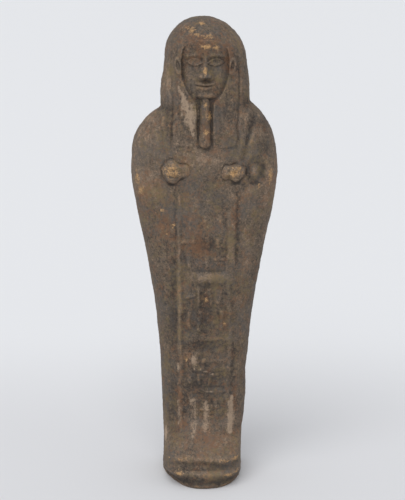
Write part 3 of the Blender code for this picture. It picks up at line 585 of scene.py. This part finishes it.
sides = np.linspace(0.0, level(DOME_FOOT), UPRIGHT_ROWS, endpoint=False)
dome_turn = np.sin(np.linspace(0.0, math.pi / 2, DOME_ROWS))
dome = level(DOME_FOOT) + (level(1.0) - level(DOME_FOOT)) * dome_turn
row_height = np.concatenate([np.zeros(UNDERSIDE_ROWS), sides, dome])
underside = np.linspace(0.0, 1.0, UNDERSIDE_ROWS, endpoint=False)
row_spread = np.concatenate([underside, np.ones(UPRIGHT_ROWS + DOME_ROWS)])
around = np.linspace(0.0, 2 * math.pi, COLUMNS)
angle, z = np.meshgrid(around - FRONT_CROWDING * np.cos(around), row_height)

radius = block_radius(angle, z) * row_spread[:, None]
x, y = radius * np.cos(angle) + sideways(z), radius * np.sin(angle)
inward = losses(x, y, z)
x, y = x - inward * np.cos(angle), y - inward * np.sin(angle)
reach = np.clip(-y, 0.0, None)

cut_x = x + 0.00022 * wander(x, z, size=0.008, turn=11) + 0.0003 * wander(x, z, size=0.03, turn=12)
cut_z = z + 0.00022 * wander(x, z, size=0.008, turn=13) + 0.0003 * wander(x, z, size=0.03, turn=14)
left_of_relief = 0.70 + 0.30 * wander(x, z, size=0.011, turn=15)
left_of_relief = left_of_relief + 0.35 * bell(z - level(BROAD_BAR), 0.006)
left_of_relief = left_of_relief + 0.35 * bell(z - level(0.36), 0.012)
left_of_relief = left_of_relief + 0.3 * bell(np.abs(x) - 0.0105, 0.002)
left_of_relief = np.clip(left_of_relief - 0.22 * soft_step(z - level(0.52), 0.03), 0.12, 1.3)
signs = np.maximum(panel(cut_x, cut_z), strokes(cut_x, cut_z)) * left_of_relief
raised = carve_face(x, z, reach) + lappets(cut_x, cut_z) + ears(x, z)
raised = raised + fists(cut_x, cut_z) + knot(cut_x, cut_z)
raised = beard(x, z, raised + handle_groove(cut_x, cut_z) + signs)
front = -(reach + (raised - reach) * soft_step(reach - 0.0035, 0.004))
back = y + back_of_wig(cut_x, cut_z) * soft_step(y - 0.003, 0.004)
y = np.where(y < 0, front, back)
covered = np.where(y < 0, soft_step(-inside_opening(x, z), 2 * EDGE), 1.0)
lines = hair_lines(x, y, z) * np.where(z > level(LAPPET_HEM), covered, 1.0)
x, y = x + lines * np.cos(angle), y + lines * np.sin(angle)
x[-1, :], y[-1, :] = x[-1, :].mean(), y[-1, :].mean()

bpy.ops.mesh.primitive_grid_add(x_subdivisions=COLUMNS - 1, y_subdivisions=len(row_height) - 1, size=1.0)
figure = bpy.context.object
figure.name = figure.data.name = "carved_figure"
figure.data.vertices.foreach_set("co", np.stack([x, y, z], axis=-1).ravel())
figure.data.update()
bpy.ops.object.mode_set(mode="EDIT")
bpy.ops.mesh.select_all(action="SELECT")
bpy.ops.mesh.remove_doubles(threshold=1e-6)
bpy.ops.mesh.normals_make_consistent(inside=False)
bpy.ops.object.mode_set(mode="OBJECT")


# Age. Handling and burial have left the surface uneven: broad swells, a finer pitted skin, and some
# hundreds of small knocks that are thickest on the lower body.
def roughen(name, kind, size, depth):
    """Moves the skin in and out by a cloudy pattern of this size."""
    pattern = bpy.data.textures.new(name, kind)
    pattern.noise_scale = size
    bpy.ops.object.modifier_add(type="DISPLACE")
    swell = bpy.context.object.modifiers[-1]
    swell.texture = pattern
    swell.texture_coords = "LOCAL"
    swell.strength = depth
    swell.mid_level = 0.5
    bpy.ops.object.modifier_apply(modifier=swell.name)


roughen("broad_swells", "CLOUDS", 0.012, 0.00050)
roughen("uneven_skin", "CLOUDS", 0.0035, 0.00036)
roughen("grainy_skin", "CLOUDS", 0.0011, 0.00022)


def points_and_normals(mesh):
    """Every point of a mesh and its normal, as two arrays."""
    points, normals = np.empty(len(mesh.vertices) * 3), np.empty(len(mesh.vertices) * 3)
    mesh.vertices.foreach_get("co", points)
    mesh.vertex_normals.foreach_get("vector", normals)
    return points.reshape(-1, 3), normals.reshape(-1, 3)


KNOCKS = 300
points, normals = points_and_normals(figure.data)
tree = kdtree.KDTree(len(points))
for place, point in enumerate(points):
    tree.insert(point, place)
tree.balance()
chance = np.random.default_rng(5)
inward = np.zeros(len(points))
low_down = np.clip(1.25 - points[:, 2] / level(1.0), 0.25, 1.0)
for place in chance.choice(len(points), KNOCKS, p=low_down / low_down.sum()):
    size = chance.uniform(0.0004, 0.0013)
    depth = chance.uniform(0.05, 0.16) * size
    for _, near, away in tree.find_range(points[place], 2 * size):
        inward[near] = max(inward[near], depth * math.exp(-((away / size) ** 2)))
points = points - normals * inward[:, None]
points[:, 2] = np.maximum(points[:, 2], 0.0)
figure.data.vertices.foreach_set("co", points.ravel())
figure.data.update()

TRIANGLES = 190000
bpy.ops.object.modifier_add(type="DECIMATE")
thinning = figure.modifiers[-1]
thinning.ratio = TRIANGLES / (2 * len(figure.data.polygons))
bpy.ops.object.modifier_apply(modifier=thinning.name)
bpy.ops.object.shade_smooth()


# What age has done to the colour, and painted shade, is laid on point by point: how much each point stands
# proud of the skin around it or lies sunk in it (sunk points get painted shade), and the named scrapes,
# rubbed places, dirt and painted shade under overhangs and in grooves that the photo shows.
def evened_out(values, edges, rounds):
    """Averages a value over neighbouring points, this many times."""
    count = np.bincount(edges.ravel(), minlength=len(values)).clip(1)
    for _ in range(rounds):
        total = np.stack([
            np.bincount(edges[:, 0], values[edges[:, 1], k], len(values))
            + np.bincount(edges[:, 1], values[edges[:, 0], k], len(values))
            for k in range(values.shape[1])
        ], axis=1)
        values = 0.5 * values + 0.5 * total / count[:, None]
    return values


def patch(points, x, z, half_width, half_height):
    """An oval place on the front, 1 in its middle and 0 outside it."""
    across, along = (points[:, 0] - x) / half_width, (points[:, 2] - z) / half_height
    return np.exp(-(across**2 + along**2)) * (points[:, 1] < 0)


def stroke_of(points, start, end, half_width):
    """A long narrow place on the front between two (x, z) ends."""
    along, away = along_bar(points[:, 0], points[:, 2], start, end)
    taper = half_width * (0.35 + 0.65 * np.sin(math.pi * np.clip(0.15 + 0.7 * along, 0, 1)))
    return np.exp(-((away / taper) ** 2)) * (points[:, 1] < 0)


def lay_on(name, values):
    """Keeps a value for every point of the figure, for the material to read."""
    layer = figure.data.attributes.new(name, "FLOAT", "POINT")
    layer.data.foreach_set("value", np.clip(values, 0, 1).ravel())


# Places on the front in mm: X, Z, half width and half height, or both (X, Z) ends and the half width.
MM = 0.001
RUBBED = (
    (-5.7, 194.6, 3.0, 1.9), (1.2, 191.9, 3.4, 1.3), (-1.6, 197.0, 2.6, 1.0), (0.3, 188.0, 3.2, 1.2),
    (0.0, 178.2, 1.2, 2.4), (-14.0, 137.4, 4.2, 3.8), (-12.0, 136.6, 1.8, 2.8), (11.9, 136.8, 3.8, 2.6),
    (14.2, 138.6, 1.6, 1.0), (22.8, 130.3, 1.5, 1.6), (4.6, 187.6, 1.6, 0.9), (-3.4, 192.6, 1.8, 1.0),
    (0.2, 164.5, 1.2, 2.2), (27.6, 134.0, 1.2, 5.0), (-28.5, 133.0, 1.3, 4.0), (-26.9, 127.8, 2.0, 1.8),
    (-17.8, 120.4, 1.5, 1.6), (-12.8, 114.3, 1.2, 0.9), (-13.2, 112.9, 0.8, 0.7), (-15.8, 110.2, 0.6, 0.6),
    (1.9, 159.6, 1.1, 3.0), (0.4, 153.6, 1.4, 2.0), (0.8, 82.0, 1.1, 1.7), (8.6, 71.0, 1.0, 1.8),
    (-7.4, 54.6, 0.7, 1.4), (-14.6, 12.8, 1.1, 0.6), (-10.2, 12.6, 1.9, 0.8), (0.6, 12.6, 1.6, 0.5),
    (9.4, 12.4, 3.0, 1.3), (14.0, 12.6, 2.0, 1.4), (10.8, 6.0, 3.4, 1.6), (14.4, 6.2, 1.4, 1.2),
    (-10.6, 6.8, 2.4, 1.1),
)
SCRAPED = (
    (-4.3, 54.6, 1.7, 2.8), (-11.0, 50.8, 0.8, 2.4), (-4.0, 50.6, 0.5, 0.5), (-1.6, 50.3, 0.8, 0.6),
    (0.9, 49.4, 1.3, 0.5), (3.8, 48.2, 0.9, 0.4), (-5.0, 36.2, 1.8, 0.9), (2.8, 40.2, 1.5, 0.5),
    (5.4, 33.6, 0.7, 0.9), (-16.6, 20.0, 0.8, 3.2),
)
# Dark places: dirt on the legs, the low field and the plinth, and painted shade in the sunk band and under
# the fists, the lappets' hem, the beard's tip, the broad bar and the toes.
DIRT_AND_SHADE_PLACES = (
    (24.8, 155.5, 3.4, 5.0), (24.6, 148.0, 3.0, 5.0), (11.2, 147.2, 2.8, 0.7), (1.4, 146.4, 2.4, 0.9),
    (0.6, 61.6, 8.0, 3.0), (2.0, 106.0, 6.0, 4.0), (-14.0, 131.4, 2.6, 1.0), (12.5, 132.0, 2.6, 0.7),
    (9.0, 9.6, 6.0, 1.1), (-13.2, 72.0, 2.8, 12.0), (-14.0, 36.0, 2.8, 14.0), (2.0, 88.0, 5.0, 2.0),
    (0.0, 44.0, 9.0, 10.0), (2.0, 3.4, 12.0, 2.6), (-15.6, 156.0, 1.8, 8.0), (2.0, 158.0, 9.0, 9.0),
    (0.0, 76.0, 9.0, 9.0),
)
RUSTY = (
    (-10.2, 40.0, 1.1, 7.0), (-10.6, 32.0, 1.4, 6.0), (-9.0, 26.0, 2.0, 4.0), (-7.4, 56.0, 2.0, 3.4),
    (-17.0, 113.0, 5.0, 9.0), (1.0, 82.0, 2.0, 3.0), (9.0, 70.0, 2.4, 4.0), (13.6, 36.0, 1.2, 9.0),
    (0.5, 155.0, 2.4, 9.0), (-1.0, 189.0, 9.0, 4.5), (2.0, 20.0, 12.0, 6.0), (10.5, 181.0, 2.4, 5.0),
    (13.0, 115.0, 2.0, 10.0), (-24.0, 128.0, 5.0, 9.0), (27.0, 130.0, 3.0, 9.0), (-2.0, 108.0, 7.0, 6.0),
)
TANNED = (
    (2.4, 91.6, 6.8, 2.0), (11.2, 104.0, 1.6, 12.0), (-13.2, 136.8, 4.4, 4.2), (11.2, 136.6, 3.8, 3.6),
    (-10.4, 78.0, 0.9, 14.0), (20.0, 128.0, 3.0, 2.2), (-22.0, 128.0, 5.0, 3.0), (4.6, 82.0, 1.1, 8.0),
    (-3.2, 82.0, 1.0, 9.0),
)
PALER = (
    (0.0, 143.0, 14.0, 6.0), (-24.0, 150.0, 7.0, 10.0), (24.0, 153.0, 7.0, 6.0), (-27.0, 132.0, 6.0, 12.0),
    (28.0, 132.0, 4.0, 12.0), (0.0, 20.5, 13.0, 7.0), (-15.5, 178.0, 3.0, 10.0), (2.4, 91.6, 7.0, 1.8),
    (18.0, 100.0, 3.0, 12.0), (13.4, 7.0, 4.0, 1.6), (20.8, 137.2, 1.5, 2.4), (4.0, 156.0, 9.0, 8.0),
    (1.0, 7.4, 7.0, 0.9),
)
# Dark lines of painted shade along the relief's grooves and borders and round the knot's sunk oval.
SHADED_CREVICES = (
    ((-12.4, 130.0), (-12.0, 108.0), 0.6), ((13.9, 128.0), (13.5, 97.0), 0.7),
    ((12.6, 62.0), (12.4, 34.0), 0.7), ((-5.0, 94.6), (7.0, 94.6), 0.6),
    ((-5.6, 46.0), (8.6, 47.4), 0.6), ((-3.0, 42.0), (9.0, 42.6), 0.6),
    ((-13.2, 100.0), (-12.8, 64.0), 1.2), ((18.2, 140.0), (17.8, 133.5), 0.8),
    ((24.6, 139.6), (24.4, 133.4), 1.2), ((19.2, 131.8), (23.6, 131.8), 0.8),
    ((19.6, 157.0), (17.4, 148.0), 0.7),
)
points, normals = points_and_normals(figure.data)
edges = np.empty(len(figure.data.edges) * 2, int)
figure.data.edges.foreach_get("vertices", edges)
edges = edges.reshape(-1, 2)
fine_stand = ((points - evened_out(points, edges, 8)) * normals).sum(axis=1)
broad_stand = ((points - evened_out(points, edges, 60)) * normals).sum(axis=1)
broad_stand = broad_stand - evened_out(broad_stand[:, None], edges, 200)[:, 0]


def share_above(values, usual, most):
    """0 up to the usual value and 1 at the most, both given as shares of all the points."""
    low, high = np.quantile(values, (usual, most))
    return np.clip((values - low) / (high - low), 0.0, 1.0)


lay_on("worn", 0.4 * share_above(fine_stand, 0.55, 0.98) + 0.6 * share_above(broad_stand, 0.60, 0.99))
# The sunk points are darkened in the material as painted shade in the hollows.
lay_on("sunk", 0.3 * share_above(-fine_stand, 0.60, 0.99) + 0.7 * share_above(-broad_stand, 0.60, 0.995))


def patches(places):
    """Several oval places at once."""
    return np.max([patch(points, *(MM * size for size in place)) for place in places], axis=0)


def lines_of(places):
    """Several long narrow places at once, each given by its two ends and its half width."""
    in_metres = [[np.array(size) * MM for size in place] for place in places]
    shaky = points + np.outer(wander(points[:, 2], size=0.0035, turn=21), (0.0004, 0.0, 0.0))
    return np.max([stroke_of(shaky, *place) for place in in_metres], axis=0)


PALE_STREAKS = (
    ((-10.8, 171.5), (-8.0, 165.0), 1.0), ((-8.8, 167.0), (-6.2, 160.5), 2.2),
    ((-6.8, 163.5), (-5.6, 156.0), 3.1), ((-5.5, 157.5), (-5.0, 152.0), 1.1),
    ((11.9, 37.0), (11.7, 22.0), 1.8),
)
FAINT_STREAKS = (
    ((1.0, 35.0), (0.9, 23.0), 1.9), ((-4.2, 36.5), (-4.4, 21.0), 1.9),
    ((-11.0, 36.0), (-10.8, 25.0), 0.8),
)
lay_on("rubbed", patches(RUBBED))
scrapes = patches(SCRAPED), lines_of(PALE_STREAKS), 0.62 * lines_of(FAINT_STREAKS)
lay_on("scraped", np.max(scrapes, axis=0))
# Dirt, and painted shade in recesses and under overhangs.
lay_on("dirt_and_shade", np.maximum(0.75 * patches(DIRT_AND_SHADE_PLACES), 0.75 * lines_of(SHADED_CREVICES)))
lay_on("paler", patches(PALER))
lay_on("rusty", patches(RUSTY))
lay_on("tanned", patches(TANNED))
in_opening = (points[:, 1] < 0) * soft_step(inside_opening(points[:, 0], points[:, 2]), 2 * EDGE)
lay_on("hair", soft_step(points[:, 2] - level(LAPPET_HEM), 0.002) * (1 - in_opening))


# The stone. Dark brown and fine-grained, mottled with rust, ochre and grey, darker in the hollows, in
# grooves and under overhangs with painted shade and in places with dirt, lighter where it is handled,
# rubbed to orange tan in spots, and scraped pale in a few places.
def colour(red, green, blue):
    """A colour as a screen shows it, from 0 to 255, made linear."""
    return tuple(((v / 255 + 0.055) / 1.055) ** 2.4 for v in (red, green, blue)) + (1.0,)


SHADES = (
    (0.00, colour(52, 45, 40)), (0.25, colour(75, 65, 56)), (0.50, colour(98, 85, 72)),
    (0.75, colour(121, 104, 88)), (1.00, colour(150, 129, 109)),
)
# The dark colour serves both for dirt and for painted shade in hollows, grooves and under overhangs.
DIRT_AND_SHADE, RUST = colour(56, 50, 45), colour(118, 82, 56)
OCHRE, GREY = colour(120, 103, 72), colour(92, 88, 84)
HALO, TAN, SCRAPE = colour(142, 112, 80), colour(196, 156, 108), colour(164, 142, 120)

stone = bpy.data.materials.new("aged_stone")
stone.use_nodes = True
nodes, links = stone.node_tree.nodes, stone.node_tree.links
shader = nodes["Principled BSDF"]
coordinates = nodes.new("ShaderNodeTexCoord").outputs["Object"]


def noise(scale, detail, roughness, stretch=(1.0, 1.0, 1.0), distortion=0.0):
    """A cloudy pattern, this many swells to the metre."""
    mapping = nodes.new("ShaderNodeMapping")
    mapping.inputs["Scale"].default_value = stretch
    links.new(coordinates, mapping.inputs["Vector"])
    pattern = nodes.new("ShaderNodeTexNoise")
    pattern.inputs["Scale"].default_value = scale
    pattern.inputs["Detail"].default_value = detail
    pattern.inputs["Roughness"].default_value = roughness
    pattern.inputs["Distortion"].default_value = distortion
    links.new(mapping.outputs["Vector"], pattern.inputs["Vector"])
    return pattern.outputs["Fac"]


def laid(name):
    """A value that was laid on the figure point by point."""
    source = nodes.new("ShaderNodeAttribute")
    source.attribute_name = name
    return source.outputs["Fac"]


def ramp(value, low, high, out_low=0.0, out_high=1.0):
    """Stretches the part of a value between low and high over 0 to 1."""
    stretch = nodes.new("ShaderNodeMapRange")
    stretch.interpolation_type = "SMOOTHSTEP"
    ends = ("From Min", low), ("From Max", high), ("To Min", out_low), ("To Max", out_high)
    for socket, number in ends:
        stretch.inputs[socket].default_value = number
    links.new(value, stretch.inputs["Value"])
    return stretch.outputs["Result"]


def math_of(kind, first, second):
    """Joins two values; each is a socket or a number."""
    join = nodes.new("ShaderNodeMath")
    join.operation = kind
    for place, value in enumerate((first, second)):
        if isinstance(value, (int, float)):
            join.inputs[place].default_value = value
        else:
            links.new(value, join.inputs[place])
    return join.outputs["Value"]


def blend_of(*shares):
    """A sum of values, each with its share."""
    total = math_of("MULTIPLY", *shares[0])
    for value, share in shares[1:]:
        total = math_of("ADD", total, math_of("MULTIPLY", value, share))
    return total


def tinted(under, over, amount):
    """One colour laid over another by an amount."""
    mix = nodes.new("ShaderNodeMix")
    mix.data_type = "RGBA"
    for socket, value in ((mix.inputs[6], under), (mix.inputs[7], over), (mix.inputs[0], amount)):
        if isinstance(value, (tuple, float)):
            socket.default_value = value
        else:
            links.new(value, socket)
    return mix.outputs[2]


broad = noise(45, 3, 0.55)
patchy = noise(125, 5, 0.62)
mottle = noise(370, 5, 0.65)
grain = noise(1000, 4, 0.72)
fine_grain = noise(2300, 2, 0.60)
streak = noise(240, 6, 0.65, stretch=(3.0, 3.0, 0.20))
shade = blend_of((broad, 0.40), (patchy, 0.65), (mottle, 0.75), (grain, 1.30), (fine_grain, 1.0))
shade = math_of("SUBTRACT", shade, 1.58)
on_hair = math_of("MULTIPLY", laid("hair"), 0.6)
shade = math_of("ADD", shade, math_of("MULTIPLY", math_of("SUBTRACT", streak, 0.5), on_hair))
# Lighter where worn, tanned and paler; darker with painted shade in hollows, grooves and under overhangs,
# and with dirt.
aged_and_shaded = blend_of(
    (laid("worn"), 0.26), (laid("sunk"), -0.32), (laid("dirt_and_shade"), -0.34), (laid("tanned"), 0.16),
    (laid("paler"), 0.24),
)
shade = math_of("ADD", shade, aged_and_shaded)

shades = nodes.new("ShaderNodeValToRGB")
for at, shade_colour in SHADES[1:-1]:
    shades.color_ramp.elements.new(at).color = shade_colour
shades.color_ramp.elements[0].color = SHADES[0][1]
shades.color_ramp.elements[-1].color = SHADES[-1][1]
links.new(shade, shades.inputs["Fac"])
body = shades.outputs["Color"]

grey = blend_of((noise(80, 4, 0.6), 1.0), (noise(520, 3, 0.6), 0.6))
body = tinted(body, GREY, ramp(grey, 0.74, 0.98, 0.0, 0.50))
rust_cloud, rust_speck = noise(150, 4, 0.6), noise(640, 3, 0.65)
rust = blend_of((rust_cloud, 1.0), (rust_speck, 1.1), (grain, 1.0), (laid("rusty"), 0.24))
body = tinted(body, RUST, ramp(rust, 1.48, 2.02, 0.0, 0.72))
ochre = blend_of((noise(110, 4, 0.6), 1.0), (noise(700, 3, 0.65), 0.9), (laid("tanned"), 0.16))
body = tinted(body, OCHRE, ramp(ochre, 0.92, 1.30, 0.0, 0.70))
# Dirt, and painted shade in hollows, grooves and under overhangs, laid over in the dark colour.
dirt_and_shade_amount = blend_of((laid("sunk"), 0.55), (laid("dirt_and_shade"), 0.65), (patchy, 0.7), (grain, 0.5))
body = tinted(body, DIRT_AND_SHADE, ramp(dirt_and_shade_amount, 0.75, 1.60, 0.0, 0.75))
proud = blend_of((laid("worn"), 0.55), (patchy, 1.7), (mottle, 1.0), (grain, 1.5))
body = tinted(body, HALO, ramp(proud, 2.40, 3.00, 0.0, 0.62))
halo = blend_of((laid("rubbed"), 1.0), (mottle, 2.2), (grain, 1.4))
body = tinted(body, HALO, ramp(halo, 2.34, 2.95, 0.0, 0.85))
core = blend_of((laid("rubbed"), 0.8), (mottle, 1.0), (grain, 1.8), (fine_grain, 1.8))
body = tinted(body, TAN, ramp(core, 2.80, 3.40, 0.0, 0.85))
pale = blend_of((laid("scraped"), 1.0), (mottle, 0.8), (streak, 1.6), (grain, 1.2), (fine_grain, 1.0))
body = tinted(body, SCRAPE, ramp(pale, 2.50, 3.35, 0.0, 0.85))
links.new(body, shader.inputs["Base Color"])

rough = math_of("SUBTRACT", ramp(mottle, 0.3, 0.7, 0.66, 0.86), math_of("MULTIPLY", laid("worn"), 0.12))
links.new(rough, shader.inputs["Roughness"])
shader.inputs["Specular IOR Level"].default_value = 0.35

skin = nodes.new("ShaderNodeBump")
skin.inputs["Strength"].default_value = 0.7
skin.inputs["Distance"].default_value = 0.00012
links.new(blend_of((noise(1900, 5, 0.65), 1.0), (mottle, 1.4)), skin.inputs["Height"])
links.new(skin.outputs["Normal"], shader.inputs["Normal"])
figure.data.materials.clear()
figure.data.materials.append(stone)

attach(figure, "root")
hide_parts(NODE)
